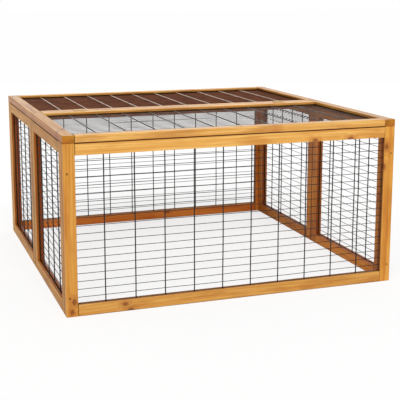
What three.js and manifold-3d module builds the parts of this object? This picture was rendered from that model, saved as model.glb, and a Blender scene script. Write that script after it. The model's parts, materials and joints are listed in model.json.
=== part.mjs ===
// An outdoor rabbit run: four grooved-batten walls filled with welded wire mesh, and a lid in two
// halves. The rear half is fixed and carries a shade cover under its mesh. The front half opens
// on two butt hinges along the middle seam.
//
// Millimetres, +Z up. The origin is the middle of the footprint at ground level. X runs to the
// right along the front wall and Y runs to the rear.

import * as THREE from 'three';
import { mergeVertices } from 'three/addons/utils/BufferGeometryUtils.js';
import Module from 'manifold-3d';

const wasm = await Module();
wasm.setup();

// ---------------------------------------------------------------- driving dimensions

// the whole run
const RUN_WIDTH = 1160;
const RUN_DEPTH = 1160;
const RUN_HEIGHT = 580; // ground to the top face of the lid

// battens
const BATTEN_THICKNESS = 24;
const RAIL_WIDTH = 38; // every rail, and the stiles of the front and rear walls
const SIDE_STILE_WIDTH = 44; // the stiles of the four side wall halves
const EDGE_CHAMFER = 1.5;
const GROOVE_WIDTH = 6.8;
const GROOVE_DEPTH = 9;

// wire mesh
const STAY_DIAMETER = 4; // the stays run up the walls and front to back in the lid
const STAY_PITCH = 100;
const LINE_DIAMETER = 2.1; // the line wires cross them
const LINE_PITCH = 25.75;
const LAYER_GAP = 0.05; // between the two layers of wires
const BORDER_WIDTH = 2; // the strip that ties the wire ends together inside the grooves
const MESH_SIDE_PLAY = 2; // from the mesh's edge to the bottom of a groove
const MESH_FACE_PLAY = 0.3; // from the mesh's edge strip to each side of a groove

// shade cover
const COVER_THICKNESS = 1.5;
const COVER_PLAY = 0.3; // from the cover to the mesh above it

// fits
const JOINT_GAP = 0.3; // between pieces that meet
const LID_SEAM = 0.6; // between the lid and the walls
const HINGE_SEAM = 1.5; // between the two halves of the lid

// butt hinges
const HINGE_SPACING = 800; // centre to centre
const HINGE_LENGTH = 42;
const LEAF_WIDTH = 16; // hinge axis to leaf edge
const LEAF_THICKNESS = 1.2;
const KNUCKLE_RADIUS = 2.7;
const MIDDLE_KNUCKLE_LENGTH = 14;
const KNUCKLE_GAP = 0.4;
const PIN_RADIUS = 1;
const PIN_HEAD_RADIUS = 1.9;
const PIN_HEAD_LENGTH = 1;

// hinge screws
const SCREW_SPACING = 26;
const SCREW_EDGE = 6; // screw centre to leaf edge
const SCREW_HEAD_RADIUS = 2.6;
const SCREW_SHANK_RADIUS = 1.2;
const SCREW_LENGTH = 12;
const SCREW_CLEARANCE = 0.3;

// faceting
const WIRE_SIDES = 6;
const ROUND_SIDES = 16;

// ---------------------------------------------------------------- derived dimensions

const WALL_HEIGHT = RUN_HEIGHT - BATTEN_THICKNESS - LID_SEAM;
const SIDE_HALF_LENGTH = RUN_DEPTH / 2 - BATTEN_THICKNESS - 1.5 * JOINT_GAP;
const LID_HALF_LENGTH = (RUN_DEPTH - HINGE_SEAM) / 2;
const HINGE_AXIS_RISE = KNUCKLE_RADIUS + JOINT_GAP;
const STAY_OFFSET = (LINE_DIAMETER + LAYER_GAP) / 2; // mid-plane of the mesh to a stay's centre
const LINE_OFFSET = (STAY_DIAMETER + LAYER_GAP) / 2; // mid-plane of the mesh to a line wire's centre
const BORDER_THICKNESS = GROOVE_WIDTH - 2 * MESH_FACE_PLAY;
const EDGE_HELD = GROOVE_DEPTH - MESH_SIDE_PLAY; // how far mesh and cover reach into a groove
const COVER_ROOM = COVER_THICKNESS + COVER_PLAY; // what the cover adds to a groove's width
const STILE_GROOVE_STOP = RAIL_WIDTH - GROOVE_DEPTH; // level with the bottom of its rails' grooves
const RAIL_GROOVE_STOP = -JOINT_GAP; // a rail's groove runs out past its ends
const SCREW_PLACES = [-SCREW_SPACING / 2, SCREW_SPACING / 2]; // along each leaf

// ---------------------------------------------------------------- materials

const wood = (colour) => new THREE.MeshStandardMaterial({ color: colour, roughness: 0.55, metalness: 0 });
const metal = (colour) => new THREE.MeshStandardMaterial({ color: colour, roughness: 0.35, metalness: 1 });

const FRONT_WOOD = 0xe1aa5a;
const SIDE_WOOD = 0xcdaa7d;
const LID_WOOD = 0xf0d2aa;
const GALVANISED = 0x8c8f90;
const ZINC = 0xb9bbb8;
const COVER_BROWN = 0x54392e;

// ---------------------------------------------------------------- helpers

/** A closed geometry as a solid that can be joined and cut. */
function toSolid(geometry) {
  const bare = geometry.clone();
  bare.deleteAttribute('normal');
  bare.deleteAttribute('uv');
  const merged = mergeVertices(bare, 1e-4);
  return new wasm.Manifold(new wasm.Mesh({
    numProp: 3,
    vertProperties: new Float32Array(merged.attributes.position.array),
    triVerts: new Uint32Array(merged.index.array),
  }));
}

/** The geometry of a solid. */
function toGeometry(solid) {
  const mesh = solid.getMesh();
  const geometry = new THREE.BufferGeometry();
  geometry.setAttribute('position', new THREE.BufferAttribute(mesh.vertProperties, 3));
  geometry.setIndex(new THREE.BufferAttribute(mesh.triVerts, 1));
  geometry.computeVertexNormals();
  return geometry;
}

/** The first geometry with every geometry in the list joined to it. */
function join(first, others) {
  return toGeometry(others.reduce((solid, other) => solid.add(toSolid(other)), toSolid(first)));
}

/** The first geometry with every geometry in the list cut out of it. */
function cut(first, others) {
  return toGeometry(others.reduce((solid, other) => solid.subtract(toSolid(other)), toSolid(first)));
}

/** A named part with its own material. */
function part(name, geometry, material) {
  const mesh = new THREE.Mesh(geometry, material);
  mesh.name = name;
  return mesh;
}

/** A box between two corners. */
function boxBetween(low, high) {
  const size = high.map((value, axis) => value - low[axis]);
  const middle = high.map((value, axis) => (value + low[axis]) / 2);
  return new THREE.BoxGeometry(...size).translate(...middle);
}

/** The places of the inner wires across a sheet, centred on zero. Its two edges take the outer ones. */
function wirePlaces(span, pitch) {
  const bays = Math.round(span / pitch);
  return Array.from({ length: bays - 1 }, (_, index) => (index + 1 - bays / 2) * pitch);
}

// ---------------------------------------------------------------- battens

/**
 * A batten that stands on the XY plane and runs up Z. Its outer edge is at x = 0, its grooved
 * edge at x = width, and its outer face at y = 0. Its groove stops short of both ends.
 */
function battenGeometry(length, width, grooveWidth, grooveStop) {
  const section = new THREE.Shape();
  section.moveTo(EDGE_CHAMFER, 0);
  section.lineTo(width - EDGE_CHAMFER, 0);
  section.lineTo(width, EDGE_CHAMFER);
  section.lineTo(width, BATTEN_THICKNESS - EDGE_CHAMFER);
  section.lineTo(width - EDGE_CHAMFER, BATTEN_THICKNESS);
  section.lineTo(EDGE_CHAMFER, BATTEN_THICKNESS);
  section.lineTo(0, BATTEN_THICKNESS - EDGE_CHAMFER);
  section.lineTo(0, EDGE_CHAMFER);
  section.closePath();
  const plain = new THREE.ExtrudeGeometry(section, { depth: length, bevelEnabled: false });
  const near = (BATTEN_THICKNESS - grooveWidth) / 2;
  const groove = boxBetween(
    [width - GROOVE_DEPTH, near, grooveStop],
    [width + GROOVE_DEPTH, near + grooveWidth, length - grooveStop],
  );
  return cut(plain, [groove]);
}

/** A rail with pilot holes for the screws of both hinges, drilled from its outer face. */
function hingeRailGeometry(length, grooveWidth) {
  const depth = SCREW_LENGTH + SCREW_SHANK_RADIUS;
  const radius = SCREW_SHANK_RADIUS + SCREW_CLEARANCE;
  const across = LEAF_WIDTH - SCREW_EDGE - HINGE_SEAM / 2;
  const centres = [-HINGE_SPACING / 2, HINGE_SPACING / 2];
  const holes = centres.flatMap((centre) => SCREW_PLACES.map((place) => {
    const hole = new THREE.CylinderGeometry(radius, radius, 2 * depth, ROUND_SIDES);
    return hole.translate(across, 0, length / 2 + centre + place);
  }));
  return cut(battenGeometry(length, RAIL_WIDTH, grooveWidth, RAIL_GROOVE_STOP), holes);
}

// ---------------------------------------------------------------- wire mesh

/** A straight wire along Y, centred on the origin. */
function wireGeometry(diameter, length) {
  return new THREE.CylinderGeometry(diameter / 2, diameter / 2, length, WIRE_SIDES);
}

/** The outline of a rectangle centred on the origin. */
function rectangle(PathType, width, height) {
  const corners = [[-1, -1], [1, -1], [1, 1], [-1, 1]];
  return new PathType(corners.map(([x, y]) => new THREE.Vector2(x * width / 2, y * height / 2)));
}

/**
 * A sheet of welded mesh in the XY plane. Its edge strip ties the wire ends together. The stays
 * run along Y on the +Z side, and the line wires cross behind them.
 */
function meshGeometry(width, height) {
  const border = rectangle(THREE.Shape, width, height);
  border.holes.push(rectangle(THREE.Path, width - 2 * BORDER_WIDTH, height - 2 * BORDER_WIDTH));
  const strip = new THREE.ExtrudeGeometry(border, { depth: BORDER_THICKNESS, bevelEnabled: false });
  strip.translate(0, 0, -BORDER_THICKNESS / 2);
  const stays = wirePlaces(width, STAY_PITCH)
    .map((x) => wireGeometry(STAY_DIAMETER, height - BORDER_WIDTH).translate(x, 0, STAY_OFFSET));
  const lines = wirePlaces(height, LINE_PITCH).map((y) =>
    wireGeometry(LINE_DIAMETER, width - BORDER_WIDTH).rotateZ(Math.PI / 2).translate(0, y, -LINE_OFFSET));
  return join(strip, [...stays, ...lines]);
}

// ---------------------------------------------------------------- framed panels

/**
 * Four battens round a sheet of mesh. The panel stands in the XZ plane with its outer face at
 * y = 0 and its low corner at the origin. The two stiles run its full height and the rails fit
 * between them. The names are those of the stile at x = 0, the stile at the far end, the low
 * rail, the high rail and the mesh. A hinge rail is the low or the high one. Room for a cover
 * widens the grooves, and the mesh then lies against their outer side.
 */
function framedPanel({ names, width, height, stileWidth, colour, hingeRail = '', coverRoom = 0 }) {
  const panel = new THREE.Group();
  const [startName, endName, lowName, highName, meshName] = names;
  const grooveWidth = GROOVE_WIDTH + coverRoom;
  const railStart = stileWidth + JOINT_GAP;
  const railLength = width - 2 * railStart;
  const railGeometry = (which) => (which === hingeRail
    ? hingeRailGeometry(railLength, grooveWidth)
    : battenGeometry(railLength, RAIL_WIDTH, grooveWidth, RAIL_GROOVE_STOP));
  const stileGeometry = () => battenGeometry(height, stileWidth, grooveWidth, STILE_GROOVE_STOP);

  const start = part(startName, stileGeometry(), wood(colour));
  const end = part(endName, stileGeometry(), wood(colour));
  end.rotation.z = Math.PI;
  end.position.set(width, BATTEN_THICKNESS, 0);

  const low = part(lowName, railGeometry('low'), wood(colour));
  low.rotation.y = -Math.PI / 2;
  low.position.set(width - railStart, 0, 0);
  const high = part(highName, railGeometry('high'), wood(colour));
  high.rotation.y = Math.PI / 2;
  high.position.set(railStart, 0, height);

  const sheetWidth = width - 2 * (stileWidth - EDGE_HELD);
  const sheetHeight = height - 2 * (RAIL_WIDTH - EDGE_HELD);
  const sheet = part(meshName, meshGeometry(sheetWidth, sheetHeight), metal(GALVANISED));
  sheet.rotation.x = Math.PI / 2;
  sheet.position.set(width / 2, (BATTEN_THICKNESS - coverRoom) / 2, height / 2);
  panel.add(start, end, low, high, sheet);
  return panel;
}

/** The names of a wall's five parts. */
function wallNames(wall, startStile, endStile) {
  const pieces = [`${startStile}_stile`, `${endStile}_stile`, 'bottom_rail', 'top_rail', 'mesh'];
  return pieces.map((piece) => `${wall}_${piece}`);
}

// ---------------------------------------------------------------- walls

function frontWall() {
  const wall = framedPanel({
    names: wallNames('front_wall', 'left', 'right'),
    width: RUN_WIDTH,
    height: WALL_HEIGHT,
    stileWidth: RAIL_WIDTH,
    colour: FRONT_WOOD,
  });
  wall.position.set(-RUN_WIDTH / 2, -RUN_DEPTH / 2, 0);
  return wall;
}

function rearWall() {
  const wall = framedPanel({
    names: wallNames('rear_wall', 'right', 'left'),
    width: RUN_WIDTH,
    height: WALL_HEIGHT,
    stileWidth: RAIL_WIDTH,
    colour: FRONT_WOOD,
  });
  wall.rotation.z = Math.PI;
  wall.position.set(RUN_WIDTH / 2, RUN_DEPTH / 2, 0);
  return wall;
}

/** The two halves of the left wall, each with its first stile at its rear end. */
function leftWall() {
  const wall = new THREE.Group();
  const rearEnds = { rear: RUN_DEPTH / 2 - BATTEN_THICKNESS - JOINT_GAP, front: -JOINT_GAP / 2 };
  for (const [half, rearEnd] of Object.entries(rearEnds)) {
    const panel = framedPanel({
      names: wallNames(`left_${half}_wall`, 'rear', 'front'),
      width: SIDE_HALF_LENGTH,
      height: WALL_HEIGHT,
      stileWidth: SIDE_STILE_WIDTH,
      colour: SIDE_WOOD,
    });
    panel.rotation.z = -Math.PI / 2;
    panel.position.set(-RUN_WIDTH / 2, rearEnd, 0);
    wall.add(panel);
  }
  return wall;
}

/** The two halves of the right wall, each with its first stile at its front end. */
function rightWall() {
  const wall = new THREE.Group();
  const frontEnds = { rear: JOINT_GAP / 2, front: -RUN_DEPTH / 2 + BATTEN_THICKNESS + JOINT_GAP };
  for (const [half, frontEnd] of Object.entries(frontEnds)) {
    const panel = framedPanel({
      names: wallNames(`right_${half}_wall`, 'front', 'rear'),
      width: SIDE_HALF_LENGTH,
      height: WALL_HEIGHT,
      stileWidth: SIDE_STILE_WIDTH,
      colour: SIDE_WOOD,
    });
    panel.rotation.z = Math.PI / 2;
    panel.position.set(RUN_WIDTH / 2, frontEnd, 0);
    wall.add(panel);
  }
  return wall;
}

// ---------------------------------------------------------------- lid

/** One half of the lid, laid flat with its outer face up. Its low rail is the nearer one. */
function lidHalf(lid, nearRail, farRail, frontEdge, options) {
  const pieces = ['left_side', 'right_side', nearRail, farRail, 'mesh'];
  const panel = framedPanel({
    names: pieces.map((piece) => `${lid}_${piece}`),
    width: RUN_WIDTH,
    height: LID_HALF_LENGTH,
    stileWidth: RAIL_WIDTH,
    colour: LID_WOOD,
    ...options,
  });
  panel.rotation.x = -Math.PI / 2;
  panel.position.set(-RUN_WIDTH / 2, frontEdge, RUN_HEIGHT);
  return panel;
}

/** The shade cover, held in the rear lid's grooves just under its mesh. */
function shadeCover() {
  const width = RUN_WIDTH - 2 * (RAIL_WIDTH - EDGE_HELD);
  const length = LID_HALF_LENGTH - 2 * (RAIL_WIDTH - EDGE_HELD);
  const material = new THREE.MeshStandardMaterial({ color: COVER_BROWN, roughness: 0.85, metalness: 0 });
  const cover = part('rear_lid_shade_cover', new THREE.BoxGeometry(width, length, COVER_THICKNESS), material);
  const meshUnderside = (BATTEN_THICKNESS - COVER_ROOM + BORDER_THICKNESS) / 2;
  const drop = meshUnderside + COVER_PLAY + COVER_THICKNESS / 2;
  cover.position.set(0, (HINGE_SEAM + LID_HALF_LENGTH) / 2, RUN_HEIGHT - drop);
  return cover;
}

// ---------------------------------------------------------------- hinges

/** A length of knuckle along X, centred on the hinge axis. */
function knuckle(from, to) {
  const tube = new THREE.CylinderGeometry(KNUCKLE_RADIUS, KNUCKLE_RADIUS, to - from, ROUND_SIDES);
  return tube.rotateZ(Math.PI / 2).translate((from + to) / 2, 0, 0);
}

/** A solid turned about Z, from radius and height pairs that run upwards. */
function turned(pairs) {
  const profile = pairs.map(([radius, height]) => new THREE.Vector2(radius, height));
  return new THREE.LatheGeometry(profile, ROUND_SIDES).rotateX(Math.PI / 2);
}

/** A countersunk screw with its head's top at z = 0, or its hole when there is a clearance. */
function screwGeometry(clearance) {
  return turned([
    [0, -SCREW_LENGTH - SCREW_SHANK_RADIUS],
    [SCREW_SHANK_RADIUS + clearance, -SCREW_LENGTH],
    [SCREW_SHANK_RADIUS + clearance, -LEAF_THICKNESS],
    [SCREW_HEAD_RADIUS + 2 * clearance, clearance],
    [0, clearance],
  ]);
}

/**
 * One leaf of a hinge about the X axis. The plate lies on the side of Y that is given, and the
 * knuckles fill the given stretches of the axis.
 */
function leafGeometry(side, stretches) {
  const low = -KNUCKLE_RADIUS;
  const high = low + LEAF_THICKNESS;
  const inner = KNUCKLE_RADIUS + KNUCKLE_GAP;
  const ordered = (a, b) => [Math.min(a, b), Math.max(a, b)];
  const [plateLow, plateHigh] = ordered(side * inner, side * LEAF_WIDTH);
  const plate = boxBetween([-HINGE_LENGTH / 2, plateLow, low], [HINGE_LENGTH / 2, plateHigh, high]);
  const tabs = stretches.map(([from, to]) => {
    const [tabLow, tabHigh] = ordered(0, side * (inner + LEAF_THICKNESS));
    return boxBetween([from, tabLow, low], [to, tabHigh, high]);
  });
  const knuckles = stretches.map(([from, to]) => knuckle(from, to));
  const boreRadius = PIN_RADIUS + JOINT_GAP;
  const bore = new THREE.CylinderGeometry(boreRadius, boreRadius, 2 * HINGE_LENGTH, ROUND_SIDES);
  const holes = SCREW_PLACES.map((x) =>
    screwGeometry(SCREW_CLEARANCE).translate(x, side * (LEAF_WIDTH - SCREW_EDGE), high));
  return cut(join(plate, [...tabs, ...knuckles]), [bore.rotateZ(Math.PI / 2), ...holes]);
}

/** The hinge pin, with a head past each end of the knuckles. */
function pinGeometry() {
  const reach = HINGE_LENGTH / 2 + JOINT_GAP;
  const end = reach + PIN_HEAD_LENGTH;
  return turned([
    [0, -end],
    [PIN_HEAD_RADIUS, -end],
    [PIN_HEAD_RADIUS, -reach],
    [PIN_RADIUS, -reach],
    [PIN_RADIUS, reach],
    [PIN_HEAD_RADIUS, reach],
    [PIN_HEAD_RADIUS, end],
    [0, end],
  ]).rotateY(Math.PI / 2);
}

/** A butt hinge: the fixed leaf on the rear lid, the moving leaf on the front lid, pin and screws. */
function hinge(name, centre) {
  const group = new THREE.Group();
  const inner = MIDDLE_KNUCKLE_LENGTH / 2;
  const outer = inner + KNUCKLE_GAP;
  const fixedStretches = [[-HINGE_LENGTH / 2, -outer], [outer, HINGE_LENGTH / 2]];
  group.add(part(`${name}_hinge_fixed_leaf`, leafGeometry(1, fixedStretches), metal(ZINC)));
  group.add(part(`${name}_hinge_moving_leaf`, leafGeometry(-1, [[-inner, inner]]), metal(ZINC)));
  group.add(part(`${name}_hinge_pin`, pinGeometry(), metal(ZINC)));
  const leaves = { fixed: 1, moving: -1 };
  for (const [leaf, side] of Object.entries(leaves)) {
    SCREW_PLACES.forEach((x, index) => {
      const screw = part(`${name}_hinge_${leaf}_screw_${index + 1}`, screwGeometry(0), metal(ZINC));
      screw.position.set(x, side * (LEAF_WIDTH - SCREW_EDGE), -KNUCKLE_RADIUS + LEAF_THICKNESS);
      group.add(screw);
    });
  }
  group.position.set(centre, 0, RUN_HEIGHT + HINGE_AXIS_RISE);
  return group;
}

// ---------------------------------------------------------------- assembly

const run = new THREE.Group();
run.add(frontWall(), rearWall(), leftWall(), rightWall());
const rearOptions = { hingeRail: 'low', coverRoom: COVER_ROOM };
run.add(lidHalf('rear_lid', 'hinge_rail', 'rear_rail', HINGE_SEAM / 2, rearOptions));
run.add(lidHalf('front_lid', 'front_rail', 'hinge_rail', -RUN_DEPTH / 2, { hingeRail: 'high' }));
run.add(shadeCover(), hinge('left', -HINGE_SPACING / 2), hinge('right', HINGE_SPACING / 2));

export default run;
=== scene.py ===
"""Rabbit run: glazed pine frames, welded wire mesh, a woven shade cover and a hinged front lid."""

import json
import math

import bpy
import numpy as np
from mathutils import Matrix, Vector


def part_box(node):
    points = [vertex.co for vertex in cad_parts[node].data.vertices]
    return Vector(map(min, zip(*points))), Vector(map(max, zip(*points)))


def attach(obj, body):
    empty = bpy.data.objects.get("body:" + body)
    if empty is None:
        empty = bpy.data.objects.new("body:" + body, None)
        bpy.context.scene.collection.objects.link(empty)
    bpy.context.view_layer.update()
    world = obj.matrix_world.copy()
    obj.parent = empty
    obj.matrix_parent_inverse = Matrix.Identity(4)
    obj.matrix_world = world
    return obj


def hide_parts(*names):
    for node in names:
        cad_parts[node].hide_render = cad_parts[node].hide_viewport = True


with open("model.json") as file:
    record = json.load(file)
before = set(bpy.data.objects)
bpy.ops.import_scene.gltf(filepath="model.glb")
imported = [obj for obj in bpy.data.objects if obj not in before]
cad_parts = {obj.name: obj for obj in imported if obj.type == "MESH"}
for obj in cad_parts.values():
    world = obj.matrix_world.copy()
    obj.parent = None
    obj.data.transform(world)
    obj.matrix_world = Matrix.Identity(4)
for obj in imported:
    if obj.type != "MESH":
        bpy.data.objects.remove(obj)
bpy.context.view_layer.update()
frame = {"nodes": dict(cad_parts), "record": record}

# ---------------------------------------------------------------- sizes, in metres

MM = 0.001

ARRIS = 1.5 * MM  # rounding of a batten's long edges
LIP_ARRIS = 0.4 * MM  # rounding of the groove's edges
END_ARRIS = 0.9 * MM  # rounding of a batten's ends
HOLD = 0.4 * MM  # strip beside a rounding that keeps the flat beside it flat
NEAR = 1.05  # of a rounding's radius: points within it are on the rounding
LIP_FROM = 0.9 * ARRIS  # depth from the outer face at which a grooved edge's outer lip begins
GROOVE_FROM = 1.5 * LIP_ARRIS  # depth from a grooved edge at which its groove's sides begin
GROOVE_DEPTH = 9 * MM
GROOVE_WIDTH = 6.8 * MM
COVER_GROOVE_WIDTH = 8.6 * MM  # in the rear lid, where the groove holds mesh and cover
ARC_STEPS = 4
BATTEN_STATIONS = 10
GROOVE_STOP = 29 * MM  # how far short of a stile's ends its groove stops
STOP_SLOPE = 0.3 * MM  # length over which it comes to its full depth
GROOVE_POINTS = slice(2 * (ARC_STEPS + 2), 6 * (ARC_STEPS + 2))  # of a batten's outline

STAY_RADIUS = 2.0 * MM
STAY_PITCH = 100 * MM
LINE_RADIUS = 1.05 * MM
LINE_PITCH = 25.75 * MM
WELD_SINK = 0.3 * MM  # how far a line wire is pressed into a stay
STAY_SHARE = 0.4  # of the distance between a stay and a line wire, how much lies outwards
WELD_SIZE = 2.0 * MM
WELD_SIDES = 6
WELD_RINGS = np.array([(-1.1, 0.55), (-0.55, 1.0), (0.55, 1.0), (1.1, 0.55)])  # height and radius, in sizes
WIRE_SIDES = 8
WIRE_WAVER = 0.5 * MM
WAVER_LENGTHS = (110 * MM, 47 * MM)
SECOND_WAVER = 0.6  # of the first
WIRE_STATION = 50 * MM
WIRE_SHORT = 1 * MM  # by which a wire is shorter than its sheet

COVER_THICKNESS = 1.2 * MM
COVER_SAG = 3.0 * MM
COVER_RIPPLE = 0.6 * MM
COVER_STEP = 10 * MM
BELLY_POWERS = (0.5, 0.7)  # how fast the sag sets in across and along
RIPPLE_ACROSS = (9.5 * math.pi, 2.2)  # each ripple's phase for the whole of u and of v
RIPPLE_ALONG = (1.1, 2.3 * math.pi)

LEAF_THICKNESS = 1.2 * MM
LEAF_CORNER = 2.5 * MM
LEAF_ARRIS = 0.2 * MM
KNUCKLE_RADIUS = 2.7 * MM
KNUCKLE_GAP = 0.4 * MM
MIDDLE_KNUCKLE = 14 * MM
ROLL_TURN = math.radians(300)  # how far a leaf is rolled round its pin
ROLL_STEPS = 22
PIN_RADIUS = 1.0 * MM
PIN_HEAD = 1.0 * MM  # length of its head
PIN_DOME = np.array([(0.0, 0.55), (0.15, 0.85), (0.5, 1.0), (1.0, 1.0)])  # depth and radius, of the head's
ROUND_SIDES = 24

HINGE_SCREW_RADIUS = 2.6 * MM  # of its head
WALL_SCREW_RADIUS = 3.4 * MM
WALL_SCREW_LENGTH = 40 * MM
WALL_SCREW_HEIGHTS = (0.061, 0.461)  # above the ground
LID_SCREW_INSET = 60 * MM  # from the ends of the rear lid's side members
SCREW_PROUD = 0.1 * MM
CROSS_REACH = 0.62  # this and the next three are shares of a screw head's radius
CROSS_HALF_WIDTH = 0.15
CROSS_SOFTNESS = 0.1
CROSS_DEPTH = 0.3

# ---------------------------------------------------------------- colours

def colour(red, green, blue):
    """A colour given in 0 to 255 steps, as linear light."""
    share = np.array([red, green, blue]) / 255
    linear = np.where(share <= 0.04045, share / 12.92, ((share + 0.055) / 1.055) ** 2.4)
    return (*linear.tolist(), 1.0)


# ---------------------------------------------------------------- surfaces

def sweep(rings):
    """Closed shells from rings of points, an array of shells x rings x points x 3.

    Each ring joins the next with one four-sided face for each step round the ring, and the first
    and last rings are closed by a face of their own. Rings that run anticlockwise about the
    direction of travel give faces that point outwards.
    """
    shells, count, around = rings.shape[:3]
    index = np.arange(shells * count * around).reshape(shells, count, around)
    onward = np.roll(index, -1, axis=2)
    sides = np.stack([index[:, :-1], onward[:, :-1], onward[:, 1:], index[:, 1:]], axis=-1)
    caps = np.concatenate([index[:, 0, ::-1], index[:, -1]])
    return rings.reshape(-1, 3), sides.reshape(-1, 4).tolist() + caps.tolist()


def gather(shells):
    """Several (points, faces) pairs as one."""
    points, faces, start = [], [], 0
    for some_points, some_faces in shells:
        points.append(some_points)
        faces += [[corner + start for corner in face] for face in some_faces]
        start += len(some_points)
    return np.concatenate(points), faces


def make_piece(name, shape, finish, body, attributes=None, sharp=50):
    """A mesh piece from points and faces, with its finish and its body.

    Edges that turn by more than the sharp angle, in degrees, stay crisp.
    """
    points, faces = shape
    mesh = bpy.data.meshes.new(name)
    mesh.from_pydata(points.tolist(), [], faces)
    for label, values in (attributes or {}).items():
        kind, field = ("FLOAT_VECTOR", "vector") if values.ndim == 2 else ("FLOAT", "value")
        attribute = mesh.attributes.new(label, kind, "POINT")
        attribute.data.foreach_set(field, values.astype(np.float32).ravel())
    mesh.polygons.foreach_set("use_smooth", np.ones(len(mesh.polygons), bool))
    mesh.set_sharp_from_angle(angle=math.radians(sharp))
    mesh.materials.append(finish)
    piece = bpy.data.objects.new(name, mesh)
    bpy.context.scene.collection.objects.link(piece)
    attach(piece, body)
    return piece


def rounded_outline(corners, radii):
    """A closed outline with quarter-circle corners.

    At a corner C, reached along b and left along a, the arc is C - b r (1 - sin p) + a r (1 - cos p)
    with p from 0 to 90 degrees. A point is added a little before and after each arc. Returns the
    points, their outward normals, and 1 on the arcs and 0 beside them.
    """
    corners, radii = np.array(corners, float), np.array(radii, float)[:, None, None]
    before = corners - np.roll(corners, 1, axis=0)
    after = np.roll(before, -1, axis=0)
    before = (before / np.linalg.norm(before, axis=1, keepdims=True))[:, None]
    after = (after / np.linalg.norm(after, axis=1, keepdims=True))[:, None]
    turn = before[..., :1] * after[..., 1:] - before[..., 1:] * after[..., :1]
    angle = np.linspace(0, math.pi / 2, ARC_STEPS)[None, :, None]
    spot = corners[:, None]
    arc = spot - before * radii * (1 - np.sin(angle)) + after * radii * (1 - np.cos(angle))
    normal = turn * (before * np.sin(angle) - after * np.cos(angle))
    lead, trail = spot - before * (radii + HOLD), spot + after * (radii + HOLD)
    points = np.concatenate([lead, arc, trail], axis=1).reshape(-1, 2)
    normals = np.concatenate([normal[:, :1], normal, normal[:, -1:]], axis=1).reshape(-1, 2)
    on_arc = np.tile([0.0] + [1.0] * ARC_STEPS + [0.0], len(corners))
    return points, normals, on_arc


def axis_vector(axis, sign=1.0):
    """A unit vector along one axis of the frame."""
    return sign * np.eye(3)[axis]


def frame_box(node):
    """The lowest and highest corner of a CAD node, as arrays."""
    return [np.array(corner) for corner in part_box(node)]


# ---------------------------------------------------------------- node helpers

def add_node(tree, kind, inputs=None, **settings):
    """A node with its settings, and its inputs either linked or given a value."""
    made = tree.nodes.new(kind)
    for key, value in settings.items():
        setattr(made, key, value)
    for key, value in (inputs or {}).items():
        if isinstance(value, bpy.types.NodeSocket):
            tree.links.new(value, made.inputs[key])
        else:
            made.inputs[key].default_value = value
    return made


def arithmetic(tree, operation, *values, clamp=False):
    """The result of one Math node."""
    inputs = dict(enumerate(values))
    return add_node(tree, "ShaderNodeMath", inputs, operation=operation, use_clamp=clamp).outputs[0]


def blend_colours(tree, share, first, second, kind="MIX"):
    """Two colours mixed by a share."""
    inputs = {0: share, 6: first, 7: second}
    return add_node(tree, "ShaderNodeMix", inputs, data_type="RGBA", blend_type=kind).outputs[2]


def lay_colour(tree, shade, mask, share, over):
    """A colour laid over a shade by a mask, at most by the share."""
    return blend_colours(tree, arithmetic(tree, "MULTIPLY", mask, share, clamp=True), shade, over)


def paint_shade_through(tree, mask, shade, filter_colour):
    """A colour darkened through a coloured filter where a mask is: painted shade."""
    return blend_colours(tree, mask, shade, blend_colours(tree, 1.0, shade, filter_colour, "MULTIPLY"))


def ease(tree, value, low, high):
    """0 at low, 1 at high, with a smooth rise between."""
    inputs = {"Value": value, "From Min": low, "From Max": high}
    return add_node(tree, "ShaderNodeMapRange", inputs, interpolation_type="SMOOTHSTEP").outputs[0]


def stretched_noise(tree, place, stretch, detail=2.0, roughness=0.5):
    """Noise on a place that is first stretched by a factor along each axis."""
    scaled = add_node(tree, "ShaderNodeVectorMath", {0: place, 1: stretch}, operation="MULTIPLY")
    inputs = {"Vector": scaled.outputs[0], "Scale": 1.0, "Detail": detail, "Roughness": roughness}
    return add_node(tree, "ShaderNodeTexNoise", inputs).outputs[0]


def new_group(name, inputs, outputs):
    """An empty shader node group with its sockets. Returns the group and its two end nodes."""
    group = bpy.data.node_groups.new(name, "ShaderNodeTree")
    for label, kind, value in inputs:
        socket = group.interface.new_socket(name=label, in_out="INPUT", socket_type=kind)
        if value is not None:
            socket.default_value = value
    for label in outputs:
        group.interface.new_socket(name=label, in_out="OUTPUT", socket_type="NodeSocketFloat")
    return group, group.nodes.new("NodeGroupInput").outputs, group.nodes.new("NodeGroupOutput").inputs


def place_group(tree, group, inputs):
    """A group placed in a material, with its inputs linked or given a value. Returns its outputs."""
    return add_node(tree, "ShaderNodeGroup", inputs, node_tree=group).outputs


def attribute(tree, name):
    """A piece's own attribute, as a vector."""
    return add_node(tree, "ShaderNodeAttribute", attribute_name=name).outputs["Vector"]


def split(tree, vector):
    """The three numbers of a vector."""
    return add_node(tree, "ShaderNodeSeparateXYZ", {0: vector}).outputs


def new_finish(name, **shader):
    """A material with a Principled shader. Returns the material, its tree and the shader's inputs."""
    finish = bpy.data.materials.new(name)
    finish.use_nodes = True
    sockets = finish.node_tree.nodes["Principled BSDF"].inputs
    for key, value in shader.items():
        sockets[key.replace("_", " ")].default_value = value
    return finish, finish.node_tree, sockets


def bump(tree, height, distance, strength):
    """A normal from a height."""
    inputs = {"Height": height, "Distance": distance, "Strength": strength}
    return add_node(tree, "ShaderNodeBump", inputs).outputs[0]


# ---------------------------------------------------------------- shared effects

# Cells of noise in a metre along, across and through a batten
SWAY_CELLS = (1.6, 9.0, 9.0)
STREAK_CELLS = (2.6, 170.0, 170.0)
FIBRE_CELLS = (30.0, 1500.0, 1500.0)
PATCH_CELLS = (6.0, 40.0, 40.0)
KNOT_CELLS = (140.0, 200.0, 200.0)

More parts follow.
